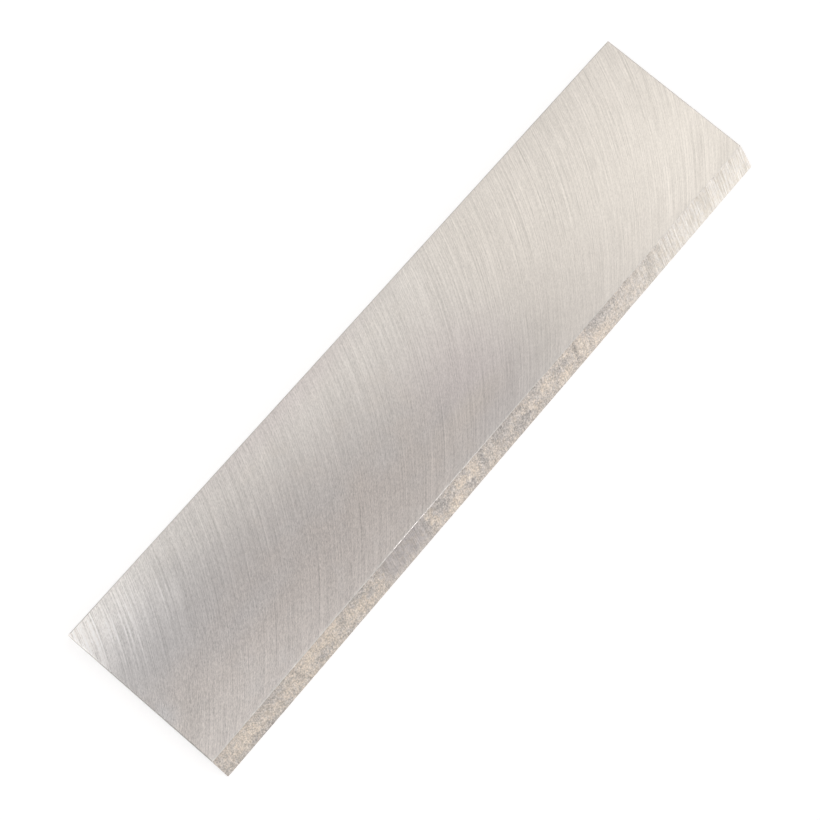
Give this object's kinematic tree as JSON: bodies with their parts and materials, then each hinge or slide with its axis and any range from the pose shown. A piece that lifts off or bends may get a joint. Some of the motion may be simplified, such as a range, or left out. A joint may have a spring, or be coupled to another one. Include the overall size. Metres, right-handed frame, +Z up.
{
  "type": "wood chipper knife",
  "caption": "Flat ground steel bar with square ends and a single bevel along one long edge, clamped in a chipper's drum or disc to cut wood.",
  "frame": {"origin": "middle of the underside, the large flat face that the knife lies and is clamped on", "axes": "+X along the knife, -Y out past the cutting edge, +Y towards the square back edge, +Z up out of the upper face"},
  "size_m": [0.31, 0.075, 0.008],
  "materials": {
    "ground_steel": "surface ground, with fine curved wheel marks and a bare bright bevel"
  },
  "bodies": {
    "root": {"chipper_knife": "ground_steel"}
  },
  "joints": []
}
